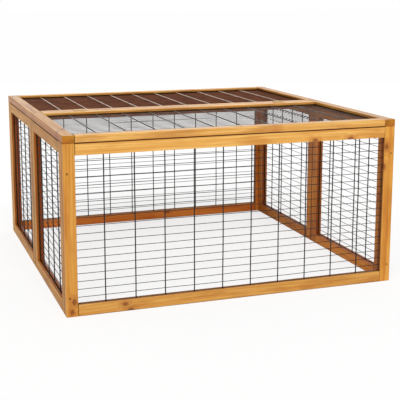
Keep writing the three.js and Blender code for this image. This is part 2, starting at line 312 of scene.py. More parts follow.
SWAY_REACH = 22 * MM  # how far the growth rings leave their circles
RING_WIDTH = 4.2 * MM
RING_TONES = ((0.0, 0.08), (0.5, 0.22), (0.86, 1.0), (1.0, 0.1))  # across one ring, how dark its wood is
KNOT_LENGTHENING = 0.62  # share of a distance along the grain that counts
KNOT_CORE = (1.15, 0.75)  # where it begins and is full, in knot radii
KNOT_HALO = (3.4, 0.9)


def grain_effect():
    """Softwood grain. Growth rings are distances from the pith line, bent by slow noise."""
    group, given, result = new_group(
        "softwood grain",
        [("Place", "NodeSocketVector", None), ("Bend", "NodeSocketFloat", 0.0),
         ("Ring Width", "NodeSocketFloat", RING_WIDTH)],
        ["Rings", "Streaks", "Fibres", "Patches"])
    _, across, through = split(group, given["Place"])
    slow = stretched_noise(group, given["Place"], SWAY_CELLS, detail=1.0)
    sway = arithmetic(group, "MULTIPLY", arithmetic(group, "SUBTRACT", slow, 0.5), SWAY_REACH)
    reach = arithmetic(group, "SQRT", arithmetic(
        group, "ADD", arithmetic(group, "POWER", across, 2.0), arithmetic(group, "POWER", through, 2.0)))
    bent = arithmetic(group, "ADD", arithmetic(group, "ADD", reach, sway), given["Bend"])
    phase = arithmetic(group, "FRACT", arithmetic(group, "DIVIDE", bent, given["Ring Width"]))
    ramp = add_node(group, "ShaderNodeValToRGB", {0: phase})
    stops = ramp.color_ramp.elements  # it starts with one at 0 and one at 1
    for position, _ in RING_TONES[1:-1]:
        stops.new(position)
    for stop, (_, tone) in zip(stops, RING_TONES):
        stop.color = (tone, tone, tone, 1)
    group.links.new(ramp.outputs[0], result["Rings"])
    for label, cells, detail, roughness in (
            ("Streaks", STREAK_CELLS, 3.0, 0.6), ("Fibres", FIBRE_CELLS, 2.0, 0.5),
            ("Patches", PATCH_CELLS, 2.5, 0.5)):
        noise = stretched_noise(group, given["Place"], cells, detail, roughness)
        group.links.new(noise, result[label])
    return group


def knot_effect():
    """A knot. The distance from its middle, longer along the grain, gives its core and its halo."""
    group, given, result = new_group(
        "knot",
        [("Offset", "NodeSocketVector", None), ("Radius", "NodeSocketFloat", 5 * MM)],
        ["Core", "Halo", "Bend"])
    ragged = stretched_noise(group, given["Offset"], KNOT_CELLS)
    along, across, _ = split(group, given["Offset"])
    shortened = arithmetic(group, "MULTIPLY", along, KNOT_LENGTHENING)
    squared = arithmetic(group, "ADD", arithmetic(group, "POWER", shortened, 2.0),
                         arithmetic(group, "POWER", across, 2.0))
    reach = arithmetic(group, "DIVIDE", arithmetic(group, "SQRT", squared), given["Radius"])
    rough = arithmetic(group, "ADD", reach, arithmetic(group, "SUBTRACT", ragged, 0.5))
    group.links.new(ease(group, rough, *KNOT_CORE), result["Core"])
    halo = ease(group, rough, *KNOT_HALO)
    group.links.new(halo, result["Halo"])
    group.links.new(arithmetic(group, "MULTIPLY", halo, given["Radius"]), result["Bend"])
    return group


def mottle_effect():
    """Uneven patches and fine specks, as on a dipped or woven surface."""
    group, given, result = new_group(
        "mottle",
        [("Place", "NodeSocketVector", None), ("Patch Size", "NodeSocketFloat", 20 * MM),
         ("Speck Size", "NodeSocketFloat", 1 * MM)],
        ["Patches", "Specks"])
    for size, label, detail in (("Patch Size", "Patches", 3.0), ("Speck Size", "Specks", 2.0)):
        scale = arithmetic(group, "DIVIDE", 1.0, given[size])
        inputs = {"Vector": given["Place"], "Scale": scale, "Detail": detail}
        group.links.new(add_node(group, "ShaderNodeTexNoise", inputs).outputs[0], result[label])
    return group


GRAIN = grain_effect()
KNOT = knot_effect()
MOTTLE = mottle_effect()

# ---------------------------------------------------------------- finishes

KNOT_RADII = {"knot_1": 7 * MM, "knot_2": 6 * MM}  # by the attributes that hold the knots' places
STREAK_EDGES = (0.38, 0.62)  # of the noise, where the honey streaks begin and are full
PATCH_EDGES = (0.46, 0.7)
PATCH_SHARE = 0.55
END_SHARE = 0.5
# pale on the arrises: wear, and painted highlight
WEAR_AND_HIGHLIGHT_SHARE = 0.3
# painted shade in the groove
GROOVE_SHADE_SHARE, GROOVE_SHADE_TONE = 0.8, colour(48, 24, 12)
HALO_SHARE, HALO_TONE = 0.42, colour(168, 84, 34)
CORE_SHARE, CORE_TONE = 0.65, colour(112, 52, 22)
# painted shadow line along the seams between parts
SEAM_SHADE_SHARE, SEAM_SHADE_TONE = 0.95, colour(58, 24, 4)
FLECK_LEAST, FLECK_SPREAD = 0.85, 0.3  # how far single fibres darken or lighten the wood
SEAM_SHADE_MATT = 0.4  # roughness added where the painted shadow line lies along the seams
STREAK_MATT = 0.2
PINE_SPECULAR = 0.22
PINE_RELIEF, PINE_BUMP = 0.12 * MM, 0.6
RING_RELIEF = 0.5  # of the fibres'
PATCHY = (0.3, 0.7)  # of a mottle's patches, where the second colour begins and is full
METAL_SPECK = 0.6 * MM
METAL_RELIEF, METAL_BUMP = 0.05 * MM, 0.5
METAL_MATT = 0.3  # spread of roughness over the patches
THREAD_PITCH = 3 * MM
CLOTH_RELIEF, CLOTH_BUMP = 0.35 * MM, 0.8
CLOTH_SPECULAR = 0.03
CLOTH_PATCH, CLOTH_SPECK = 60 * MM, 2.5 * MM
CLOTH_TONES = (colour(124, 70, 44), colour(164, 100, 66))
SPECK_SHARE, SPECK_TONE = 0.4, colour(66, 36, 24)
WEAVE_SHADE_SHARE, WEAVE_SHADE_TONE = 0.3, colour(56, 32, 22)  # painted shade on the weave, laid where its product of sines is high
CLOTH_MATT, CLOTH_MATT_SPREAD = 0.8, 0.2


def glazed_pine(name, pale, honey, late, inner, edge, end, figure=0.6, roughness=0.38):
    """Pine under a honey glaze: streaks, rings, knots, painted warm shade on the inner faces, edges paler
    from wear and painted highlight.

    The figure is how strongly the rings show. The grooved edges and the groove carry painted shade, and the
    seams a painted shadow line.
    """
    finish, tree, shader = new_finish(name, Specular_IOR_Level=PINE_SPECULAR)
    knots = [place_group(tree, KNOT, {"Offset": attribute(tree, label), "Radius": radius})
             for label, radius in KNOT_RADII.items()]
    bend = arithmetic(tree, "ADD", knots[0]["Bend"], knots[1]["Bend"])
    inputs = {"Place": attribute(tree, "grain"), "Bend": bend, "Ring Width": RING_WIDTH}
    grain = place_group(tree, GRAIN, inputs)
    wear_and_highlight, inside, ending = split(tree, attribute(tree, "marks"))
    # the depth attribute holds painted shade: on the grooved edge, in the groove and along the seams
    lip, groove, seam_shade = split(tree, attribute(tree, "depth"))
    halo = arithmetic(tree, "MAXIMUM", knots[0]["Halo"], knots[1]["Halo"])
    core = arithmetic(tree, "MAXIMUM", knots[0]["Core"], knots[1]["Core"])

    shade = blend_colours(tree, ease(tree, grain["Streaks"], *STREAK_EDGES), pale, honey)
    shade = lay_colour(tree, shade, grain["Rings"], figure, late)
    shade = lay_colour(tree, shade, ease(tree, grain["Patches"], *PATCH_EDGES), PATCH_SHARE, late)
    # painted shade: the inner faces darkened and warmed through the inner filter
    shade = paint_shade_through(tree, inside, shade, inner)
    # painted shade on the grooved edges, through the edge filter
    shade = paint_shade_through(tree, lip, shade, edge)
    # painted shade in the groove and a painted shadow line along the seams; arrises paler from wear and
    # painted highlight; ends and knots are the wood's own
    for mask, share, over in (
            (groove, GROOVE_SHADE_SHARE, GROOVE_SHADE_TONE), (ending, END_SHARE, end), (wear_and_highlight, WEAR_AND_HIGHLIGHT_SHARE, pale),
            (halo, HALO_SHARE, HALO_TONE), (core, CORE_SHARE, CORE_TONE), (seam_shade, SEAM_SHADE_SHARE, SEAM_SHADE_TONE)):
        shade = lay_colour(tree, shade, mask, share, over)
    fleck = arithmetic(tree, "MULTIPLY_ADD", grain["Fibres"], FLECK_SPREAD, FLECK_LEAST)
    flecked = add_node(tree, "ShaderNodeVectorMath", {0: shade, 3: fleck}, operation="SCALE").outputs[0]
    tinted = blend_colours(tree, 1.0, flecked, attribute(tree, "tint"), "MULTIPLY")
    tree.links.new(tinted, shader["Base Color"])

    matt = arithmetic(tree, "MULTIPLY_ADD", seam_shade, SEAM_SHADE_MATT, roughness)
    matt = arithmetic(tree, "MULTIPLY_ADD", grain["Streaks"], STREAK_MATT, matt)
    tree.links.new(matt, shader["Roughness"])
    height = arithmetic(tree, "MULTIPLY_ADD", grain["Rings"], RING_RELIEF, grain["Fibres"])
    tree.links.new(bump(tree, height, PINE_RELIEF, PINE_BUMP), shader["Normal"])
    return finish


def dipped_metal(name, dark, light, metallic, roughness, patch_size=40 * MM, specular=0.5):
    """Zinc on steel, in duller and brighter patches with a fine roughness."""
    finish, tree, shader = new_finish(name, Metallic=metallic, Specular_IOR_Level=specular)
    place = add_node(tree, "ShaderNodeTexCoord").outputs["Object"]
    mottle = place_group(tree, MOTTLE, {"Place": place, "Patch Size": patch_size, "Speck Size": METAL_SPECK})
    shade = blend_colours(tree, ease(tree, mottle["Patches"], *PATCHY), dark, light)
    tree.links.new(shade, shader["Base Color"])
    matt = arithmetic(tree, "MULTIPLY_ADD", mottle["Patches"], METAL_MATT, roughness - METAL_MATT / 2)
    tree.links.new(matt, shader["Roughness"])
    tree.links.new(bump(tree, mottle["Specks"], METAL_RELIEF, METAL_BUMP), shader["Normal"])
    return finish


def woven_brown(name):
    """A brown woven cover. The weave is the product of two sines, one across and one along it."""
    finish, tree, shader = new_finish(name, Specular_IOR_Level=CLOTH_SPECULAR)
    place = add_node(tree, "ShaderNodeTexCoord").outputs["Object"]
    across, along, _ = split(tree, place)
    turns = 2 * math.pi / THREAD_PITCH
    warp = arithmetic(tree, "SINE", arithmetic(tree, "MULTIPLY", across, turns))
    weft = arithmetic(tree, "SINE", arithmetic(tree, "MULTIPLY", along, turns))
    weave = arithmetic(tree, "MULTIPLY_ADD", arithmetic(tree, "MULTIPLY", warp, weft), 0.5, 0.5)
    mottle = place_group(tree, MOTTLE, {"Place": place, "Patch Size": CLOTH_PATCH, "Speck Size": CLOTH_SPECK})
    shade = blend_colours(tree, ease(tree, mottle["Patches"], *PATCHY), *CLOTH_TONES)
    shade = lay_colour(tree, shade, mottle["Specks"], SPECK_SHARE, SPECK_TONE)
    # painted shade on the weave
    shade = lay_colour(tree, shade, weave, WEAVE_SHADE_SHARE, WEAVE_SHADE_TONE)
    tree.links.new(shade, shader["Base Color"])
    matt = arithmetic(tree, "MULTIPLY_ADD", mottle["Specks"], CLOTH_MATT_SPREAD, CLOTH_MATT)
    tree.links.new(matt, shader["Roughness"])
    tree.links.new(bump(tree, weave, CLOTH_RELIEF, CLOTH_BUMP), shader["Normal"])
    return finish


FINISHES = {  # by the record's material slots
    # inner and edge are filters of painted shade: on the inner faces and on the grooved edges
    "front_wood": glazed_pine(
        "honey pine", colour(240, 188, 102), colour(226, 164, 78), colour(190, 116, 42),
        inner=colour(249, 196, 154), edge=colour(150, 108, 84), end=colour(176, 104, 34), figure=0.42),
    "side_wood": glazed_pine(
        "tan pine", colour(212, 155, 66), colour(186, 126, 42), colour(140, 78, 22),
        inner=colour(255, 228, 200), edge=colour(200, 128, 90), end=colour(160, 104, 50)),
    "lid_wood": glazed_pine(
        "pale pine", colour(236, 184, 98), colour(214, 152, 68), colour(166, 98, 34),
        inner=colour(220, 160, 112), edge=colour(150, 96, 62), end=colour(200, 136, 64), roughness=0.28),
    "wire": dipped_metal("dark wire", colour(15, 15, 16), colour(34, 33, 32), 0.1, 0.5, specular=0.3),
    "hinge_metal": dipped_metal(
        "brassed zinc", colour(210, 180, 136), colour(238, 212, 170), 0.4, 0.4, patch_size=6 * MM),
    "cover": woven_brown("brown woven cover"),
}
# a lighter copy of the dark wire: painted highlight on the right walls' line wires
HIGHLIT_LINE_WIRE = dipped_metal("highlit grey wire", colour(70, 71, 72), colour(104, 105, 106), 0.4, 0.4)
# a pale copy of the wire: painted highlight on the rear lid's stays
HIGHLIT_STAY_WIRE = dipped_metal("highlit pale wire", colour(186, 166, 148), colour(232, 210, 190), 0.8, 0.35)
# lighter copies of the wire: painted reflection on the front lid's stays and line wires
HIGHLIT_LID_STAY = dipped_metal("highlit lid stay", colour(74, 66, 62), colour(112, 100, 94), 0.45, 0.4)
HIGHLIT_LID_LINE = dipped_metal("highlit lid line", colour(72, 66, 62), colour(106, 98, 92), 0.45, 0.4)
# a brown copy of the wire: painted shade on the rear lid's line wires
SHADED_BROWN_WIRE = dipped_metal("shaded brown wire", colour(84, 52, 36), colour(118, 76, 54), 0.3, 0.5)
WALL_SCREW = dipped_metal(
    "browned screw", colour(70, 52, 34), colour(110, 84, 52), 0.9, 0.42, patch_size=3 * MM)
DARK_WIRES = (FINISHES["wire"], FINISHES["wire"])
WIRE_FINISHES = {  # of a sheet's stays and of its line wires, where they aren't both dark: the lighter ones carry painted highlight and the brown one painted shade
    "right_rear_wall": (FINISHES["wire"], HIGHLIT_LINE_WIRE), "right_front_wall": (FINISHES["wire"], HIGHLIT_LINE_WIRE),
    "rear_lid": (HIGHLIT_STAY_WIRE, SHADED_BROWN_WIRE), "front_lid": (HIGHLIT_LID_STAY, HIGHLIT_LID_LINE),
}

# ---------------------------------------------------------------- battens

OUTWARD = {  # each panel's outer side: the axis and its sign
    "front_wall": (1, -1.0), "rear_wall": (1, 1.0),
    "left_rear_wall": (0, -1.0), "left_front_wall": (0, -1.0),
    "right_rear_wall": (0, 1.0), "right_front_wall": (0, 1.0),
    "rear_lid": (2, 1.0), "front_lid": (2, 1.0),
}
KNOTS = {  # knots whose places are known, as points in the frame
    "front_wall_left_stile": [(-0.554, -0.58, 0.049), (-0.561, -0.58, 0.016)],
    "front_wall_top_rail": [(0.410, -0.58, 0.520), (0.276, -0.58, 0.5215)],
    "front_wall_right_stile": [(0.550, -0.58, 0.484)],
}
FAR_AWAY = (1.0, 1.0, 1.0)  # where a batten keeps a knot that it doesn't have
KNOT_CHANCE = 0.35
KNOT_STRETCH = (0.1, 0.9)  # of a batten's length, where its other knots may be
PITH_REACH = (26 * MM, 70 * MM)  # of the growth rings' middle from the batten's
COARSENESS = (0.45, 0.9)  # share of a distance across the grain that counts, so less is coarser
GRAIN_START = 20.0  # how far along the pattern a batten may begin, in metres, either way
TINT_SPREAD = 0.05
WALL_OUTER_LIP_SHADE = 0.8  # how far painted shade darkens the lip outside the groove; the next is the same on the lids
LID_OUTER_LIP_SHADE = 0.35
TINTS = {  # factors on red, green and blue, for battens that differ from their neighbours
    "front_wall_top_rail": (0.95, 0.97, 1.0),
    "front_wall_bottom_rail": (0.77, 0.72, 0.64),
    "front_wall_left_stile": (0.74, 0.63, 0.43),
    "front_wall_right_stile": (0.8, 0.68, 0.43),
    "front_lid_front_rail": (1.05, 1.1, 1.25),
    "right_front_wall_bottom_rail": (1.18, 1.16, 1.0),
}
LID_SIDE_TINT = (0.8, 0.7, 0.22)  # of the lid's side members
LID_EDGE_TINT = (0.85, 0.68, 0.45)  # of their outer edges, over that


def batten_outline(width, thickness, groove):
    """A batten's section from its outer edge (0) to its grooved edge, and from its outer face (0) in."""
    low, high = (thickness - groove) / 2, (thickness + groove) / 2
    floor = width - GROOVE_DEPTH
    corners = [(0, 0), (width, 0), (width, low), (floor, low), (floor, high), (width, high),
               (width, thickness), (0, thickness)]
    radii = [ARRIS, ARRIS, LIP_ARRIS, LIP_ARRIS, LIP_ARRIS, LIP_ARRIS, ARRIS, ARRIS]
    return rounded_outline(corners, radii)


def without_groove(outline, normals):
    """The same outline and normals with the groove's points spread evenly along the plain edge."""
    plain, straight = outline.copy(), normals.copy()
    first, last = GROOVE_POINTS.start, GROOVE_POINTS.stop - 1
    plain[GROOVE_POINTS] = np.linspace(outline[first], outline[last], last - first + 1)
    straight[GROOVE_POINTS] = (1.0, 0.0)
    return plain, straight


def batten_stations(length, stop):
    """Distances along a batten, how far its section is drawn in there, and where it has no groove.

    At each end the first two are r (1 - cos p) and r (1 - sin p), with p from 0 to 90 degrees. The
    groove stops short of both ends by the stop, or runs through where that is zero.
    """
    angle = np.linspace(0, math.pi / 2, ARC_STEPS)
    start = np.concatenate([[0], END_ARRIS * (1 - np.cos(angle)), [END_ARRIS + HOLD]])
    drawn = np.concatenate([[END_ARRIS + HOLD], END_ARRIS * (1 - np.sin(angle)), [0]])
    if stop:
        start = np.concatenate([start, [stop, stop + STOP_SLOPE]])
        drawn = np.concatenate([drawn, [0, 0]])
    middle = np.linspace(start[-1], length - start[-1], BATTEN_STATIONS + 2)[1:-1]
    places = np.concatenate([start, middle, length - start[::-1]])
    drawn = np.concatenate([drawn, np.zeros(BATTEN_STATIONS), drawn[::-1]])
    plain = (places <= stop) | (places >= length - stop) if stop else np.zeros(len(places), bool)
    return places, drawn[:, None, None], plain[:, None, None]


def batten_marks(node, s, w, t, on_arc, drawn, size, groove):
    """Where a batten's arrises are paler from wear and painted highlight, an inner face or an end, and where
    painted shade lies on its grooved edge, in its groove or along its seams.
    """
    length, width, thickness = size
    low, high = (thickness - groove) / 2, (thickness + groove) / 2
    on_edge = w > width - NEAR * ARRIS
    # inner faces, which take painted warm shade
    inner_face = (t > thickness - NEAR * ARRIS) & ~on_edge
    outer_lip_shade = LID_OUTER_LIP_SHADE if "lid" in node else WALL_OUTER_LIP_SHADE
    # painted shade on the grooved edge: full on its inner side, in part on its outer side
    lip = on_edge * np.where(t > thickness / 2, 1.0, np.where(t > LIP_FROM, outer_lip_shade, 0.0))
    in_groove = (w < width - GROOVE_FROM) & (w > width / 2) & (t > low - MM) & (t < high + MM)
    # painted shadow line along the seams, and at the rails' ends where they butt on the stiles
    at_seam = (w < NEAR * ARRIS) & (on_arc[None] > 0)
    if "lid" in node or (node.startswith(("front_wall", "rear_wall")) and node.endswith("stile")):
        at_seam &= t > thickness / 2
    to_end = np.minimum(s, length - s)
    at_end = to_end < NEAR * END_ARRIS
    seam_shade = (at_seam & (drawn <= 0)) | (at_end & node.endswith("_rail"))
    # paler arrises: wear, and painted highlight
    wear_and_highlight = on_arc[None] * (drawn <= 0) * ~at_seam * ~in_groove
    ending = to_end < END_ARRIS / 2
    marks = np.stack([wear_and_highlight, inner_face * 1.0, ending * 1.0], axis=-1)
    return marks, np.stack([lip * ~in_groove, in_groove * 1.0, seam_shade * 1.0], axis=-1)


def make_batten(node, panel, seed):
    """One batten: its grooved section carried along its length, with rounded ends.

    The grain runs along it about a pith line that lies outside the section.
    """
    low, high = frame_box(node)
    middle = (low + high) / 2
    size = high - low
    face_axis, face_sign = OUTWARD[panel]
    length_axis = int(np.argmax(size))
    width_axis = 3 - face_axis - length_axis
    panel_low, panel_high = frame_box(panel + "_mesh")
    inward = math.copysign(1.0, ((panel_low + panel_high) / 2 - middle)[width_axis])
    across = axis_vector(width_axis, inward)
    through = axis_vector(face_axis, -face_sign)
    along = axis_vector(length_axis)
    if np.linalg.det(np.array([across, through, along])) < 0:
        along = -along
    length, width, thickness = size[length_axis], size[width_axis], size[face_axis]
    origin = middle - (along * length + across * width + through * thickness) / 2

    groove = COVER_GROOVE_WIDTH if panel == "rear_lid" else GROOVE_WIDTH
    outline, normals, on_arc = batten_outline(width, thickness, groove)
    stop = 0.0 if node.endswith("_rail") else GROOVE_STOP
    places, drawn, plain = batten_stations(length, stop)
    plain_outline, plain_normals = without_groove(outline, normals)
    section = np.where(plain, plain_outline - plain_normals * drawn, outline - normals * drawn)
    w, t = section[..., 0], section[..., 1]
    s = np.broadcast_to(places[:, None], w.shape)
    rings = origin + s[..., None] * along + w[..., None] * across + t[..., None] * through

    random = np.random.default_rng(seed)
    pith_angle = random.uniform(0, 2 * math.pi)
    pith_reach = random.uniform(*PITH_REACH)
    coarseness = random.uniform(*COARSENESS)
    from_pith = w - width / 2 - pith_reach * math.cos(pith_angle)
    above_pith = t - thickness / 2 - pith_reach * math.sin(pith_angle)
    start = random.uniform(-GRAIN_START, GRAIN_START)
    grain = np.stack([s + start, coarseness * from_pith, coarseness * above_pith], axis=-1)

    drawn = drawn[:, 0]
    marks, depth = batten_marks(node, s, w, t, on_arc, drawn, (length, width, thickness), groove)
    known = [np.array(point) - origin for point in KNOTS.get(node, [])]
    spots = [(point @ along, point @ across, point @ through) for point in known]
    while len(spots) < 2:
        has_knot = random.uniform() < KNOT_CHANCE
        spots.append((random.uniform(*KNOT_STRETCH) * length, random.uniform(0, width), 0.0)
                     if has_knot else FAR_AWAY)
    here = np.stack([s, w, t], axis=-1)
    tint = np.array(TINTS.get(node, (1.0, 1.0, 1.0))) * (1 + random.uniform(-TINT_SPREAD, TINT_SPREAD))
    tint = np.broadcast_to(tint, here.shape)
    if "lid" in node and node.endswith("_side"):
        on_outer_edge = (w < ARRIS / 2)[..., None]
        tint = tint * LID_SIDE_TINT * np.where(on_outer_edge, LID_EDGE_TINT, 1.0)
    attributes = {
        "grain": grain.reshape(-1, 3), "marks": marks.reshape(-1, 3), "depth": depth.reshape(-1, 3),
        "knot_1": (here - spots[0]).reshape(-1, 3), "knot_2": (here - spots[1]).reshape(-1, 3),
        "tint": tint.reshape(-1, 3),
    }
    slot = slot_of(node)
    piece = make_piece(node + "_batten", sweep(rings[None]), FINISHES[slot], body_of(node), attributes)
    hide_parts(node)


def slot_of(node):
    """The record's material slot of a CAD node."""
    return next(row["material_slot"] for row in frame["record"]["subparts"] if row["node"] == node)


def body_of(node):
    """The body that a CAD node belongs to."""
    bodies = frame["record"]["behaviour"]["bodies"]
    return next(body for body, members in bodies.items() if node in members)


# ---------------------------------------------------------------- wire mesh

def wire_places(span, pitch):
    """The wires across a sheet, centred on zero. The bays are counted by rounding."""
    bays = round(span / pitch)
    return (np.arange(1, bays) - bays / 2) * pitch


def wires(centre, along, beside, outward, places, length, radius, random):
    """Parallel wires as eight-sided tubes.

    Each wavers to the side by the sum of two slow sines along it, times the square root of a half
    sine that is 0 at its ends.
    """
    stations = max(3, round(length / WIRE_STATION))
    share = np.linspace(0, 1, stations + 1)
    phase = random.uniform(0, 2 * math.pi, (len(places), 2, 1))
    first, second = (np.sin(share * length / stretch + phase[:, number])
                     for number, stretch in enumerate(WAVER_LENGTHS))
    waver = WIRE_WAVER * np.sin(math.pi * share) ** 0.5 * (first + SECOND_WAVER * second)
    line = centre + (share[None, :, None] - 0.5) * length * along
    line = line + (places[:, None, None] + waver[..., None]) * beside
    angle = np.arange(WIRE_SIDES) * 2 * math.pi / WIRE_SIDES
    across = beside if np.linalg.det(np.array([beside, outward, along])) > 0 else -beside
    ring = radius * (np.cos(angle)[:, None] * across + np.sin(angle)[:, None] * outward)
    return sweep(line[:, :, None] + ring)


def weld_spots(centres, along, beside, outward):
    """A small flattened bead at each crossing, as four rings of six points and its two ends."""
    heights = WELD_RINGS[:, :1, None] * outward
    angle = np.arange(WELD_SIDES) * 2 * math.pi / WELD_SIDES
    across = beside if np.linalg.det(np.array([beside, along, outward])) > 0 else -beside
    ring = np.cos(angle)[:, None] * across + np.sin(angle)[:, None] * along
    bead = heights + WELD_RINGS[:, 1:, None] * ring
    return sweep(centres[:, None, None] + WELD_SIZE * bead)


def make_mesh(panel, seed):
    """One sheet of welded mesh: stays on the outer side, line wires pressed into them, and welds."""
    node = panel + "_mesh"
    low, high = frame_box(node)
    centre, size = (low + high) / 2, high - low
    face_axis, face_sign = OUTWARD[panel]
    outward = axis_vector(face_axis, face_sign)
    stay_axis = 1 if face_axis == 2 else 2
    line_axis = 3 - face_axis - stay_axis
    up, side = axis_vector(stay_axis), axis_vector(line_axis)
    random = np.random.default_rng(seed)
    apart = STAY_RADIUS + LINE_RADIUS - WELD_SINK
    stay_centre = centre + outward * apart * STAY_SHARE
    line_centre = centre - outward * apart * (1 - STAY_SHARE)
    stay_places = wire_places(size[line_axis], STAY_PITCH)
    line_places = wire_places(size[stay_axis], LINE_PITCH)
    stay_length, line_length = size[stay_axis] - WIRE_SHORT, size[line_axis] - WIRE_SHORT
    stays = wires(stay_centre, up, side, outward, stay_places, stay_length, STAY_RADIUS, random)
    lines = wires(line_centre, side, up, outward, line_places, line_length, LINE_RADIUS, random)
    grid = stay_places[:, None, None] * side + line_places[None, :, None] * up
    spots = (centre + grid).reshape(-1, 3)
    welds = weld_spots(spots, up, side, outward)
    stay_finish, line_finish = WIRE_FINISHES.get(panel, DARK_WIRES)
    piece = make_piece(node + "_wires", gather([stays, lines, welds]), stay_finish, body_of(node))
    piece.data.materials.append(line_finish)
    is_line = np.repeat([0, 1, 0], [len(stays[1]), len(lines[1]), len(welds[1])])
    piece.data.polygons.foreach_set("material_index", is_line.astype(np.int32))
    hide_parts(node)


# ---------------------------------------------------------------- shade cover

def make_cover():
    """The shade cover: a sheet held at its four edges, at z = top - (sag + ripples) x belly.

    The belly is sin(pi u) to one power times sin(pi v) to another, and is 0 along the edges. A
    ripple is the product of two slanted sines.
    """
    node = "rear_lid_shade_cover"
    low, high = frame_box(node)
    size = high - low
    counts = [int(round(length / COVER_STEP)) + 1 for length in size[:2]]
    u, v = np.meshgrid(np.linspace(0, 1, counts[0]), np.linspace(0, 1, counts[1]), indexing="ij")
    belly = np.sin(math.pi * u) ** BELLY_POWERS[0] * np.sin(math.pi * v) ** BELLY_POWERS[1]
    ripple = np.sin(RIPPLE_ACROSS[0] * u + RIPPLE_ACROSS[1] * v)
    ripple *= np.sin(RIPPLE_ALONG[0] * u + RIPPLE_ALONG[1] * v)
    drop = COVER_SAG * belly + COVER_RIPPLE * (1 + ripple) * belly
    middle = high[2] - COVER_THICKNESS / 2 - drop
    points = np.stack([low[0] + u * size[0], low[1] + v * size[1], middle], axis=-1).reshape(-1, 3)
    index = np.arange(len(points)).reshape(counts)
    faces = np.stack([index[:-1, :-1], index[1:, :-1], index[1:, 1:], index[:-1, 1:]], axis=-1)
    shape = (points, faces.reshape(-1, 4).tolist())
    piece = make_piece(node + "_cloth", shape, FINISHES["cover"], body_of(node))
    thick = piece.modifiers.new("thickness", "SOLIDIFY")
    thick.thickness = COVER_THICKNESS
    thick.offset = 0.0
    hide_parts(node)


# ---------------------------------------------------------------- hinges and screws

def rolled_outline(side):
    """The section of a leaf's knuckle: a strip that comes in along the bottom and rolls round the pin.

    Its two faces are arcs of the outer and the inner radius about the axis, joined at the free end.
    """
    inner = KNUCKLE_RADIUS - LEAF_THICKNESS
    edge = KNUCKLE_RADIUS + 2 * KNUCKLE_GAP
    angle = -math.pi / 2 - np.linspace(0, ROLL_TURN, ROLL_STEPS)
    arc = np.stack([np.cos(angle), np.sin(angle)], axis=-1)
    start, finish = (edge, -KNUCKLE_RADIUS), (edge, -inner)
    outline = np.concatenate([[start], KNUCKLE_RADIUS * arc, inner * arc[::-1], [finish]])
    outline[:, 0] *= side
    return outline if side < 0 else outline[::-1]


def leaf_plate(low, high, side):
    """A leaf's plate: a rounded outline carried upwards, drawn in at its lower and upper edges."""
    outer, slight = [LEAF_CORNER] * 2, [2 * LEAF_ARRIS] * 2
    radii = slight + outer if side > 0 else outer + slight
    corners = [(low[0], low[1]), (high[0], low[1]), (high[0], high[1]), (low[0], high[1])]
    outline, normals, _ = rounded_outline(corners, radii)
    drawn = np.array([LEAF_ARRIS, 0, 0, LEAF_ARRIS])[:, None, None]
    heights = np.array([low[2], low[2] + LEAF_ARRIS, high[2] - LEAF_ARRIS, high[2]])
    flat = outline - normals * drawn
    upright = np.broadcast_to(heights[:, None, None], flat.shape[:2] + (1,))
    return sweep(np.concatenate([flat, upright], axis=-1)[None])


def make_leaf(node):
    """One leaf of a hinge: a plate, and the knuckles that are rolled from it round the hinge's axis."""
    low, high = frame_box(node)
    middle = (low[0] + high[0]) / 2
    axis_height = high[2] - KNUCKLE_RADIUS
    side = 1 if high[1] > -low[1] else -1
    inner = side * (KNUCKLE_RADIUS + KNUCKLE_GAP)
    edges = sorted([inner, high[1] if side > 0 else low[1]])
    plate = leaf_plate((low[0], edges[0], low[2]), (high[0], edges[1], low[2] + LEAF_THICKNESS), side)
    reach, half = (high[0] - low[0]) / 2, MIDDLE_KNUCKLE / 2
    outer = half + KNUCKLE_GAP
    stretches = np.array([(-half, half)] if side < 0 else [(-reach, -outer), (outer, reach)]) + middle
    outline = rolled_outline(side) + (0.0, axis_height)
    ends = np.broadcast_to(stretches[:, :, None, None], (len(stretches), 2, len(outline), 1))
    section = np.broadcast_to(outline, (len(stretches), 2) + outline.shape)
    knuckles = sweep(np.concatenate([ends, section], axis=-1))
    shape, finish = gather([plate, knuckles]), FINISHES["hinge_metal"]
    piece = make_piece(node + "_rolled", shape, finish, body_of(node), sharp=35)
    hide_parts(node)


def turned(centre, axis, stations, radii, lift=0.0):
    """Rings about an axis: one radius at each station, and each point lifted along the axis."""
    across = np.roll(axis, 1)
    angle = np.arange(ROUND_SIDES) * 2 * math.pi / ROUND_SIDES
    ring = np.cos(angle)[:, None] * across + np.sin(angle)[:, None] * np.cross(axis, across)
    along = stations[:, None] + lift
    return centre + radii[:, None, None] * ring + along[..., None] * axis


def make_pin(node):
    """A hinge pin turned about X, with a domed head past each end of the knuckles."""
    low, high = frame_box(node)
    reach = (high[0] - low[0]) / 2
    head = (high[2] - low[2]) / 2
    stations = np.append(reach - PIN_HEAD * PIN_DOME[:, 0], reach - PIN_HEAD)
    radii = np.append(head * PIN_DOME[:, 1], PIN_RADIUS)
    stations = np.concatenate([-stations, stations[::-1]])
    radii = np.concatenate([radii, radii[::-1]])
    shape = sweep(turned((low + high) / 2, axis_vector(0), stations, radii)[None])
    piece = make_piece(node + "_turned", shape, FINISHES["hinge_metal"], body_of(node))
    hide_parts(node)


SCREW_PROFILE = np.array([  # radius and height in head radii, from the point up and across the head
    (0.03, 0.0), (0.4, 0.5), (0.42, -0.55), (0.92, -0.05), (1.0, 0.0), (0.96, 0.05), (0.8, 0.08),
    (0.68, 0.1), (0.58, 0.11), (0.46, 0.12), (0.34, 0.13), (0.22, 0.13), (0.12, 0.13), (0.04, 0.13)])
FROM_POINT = 2  # the first rings, whose heights are above the screw's point
ON_HEAD = 5  # the first ring on top of the head


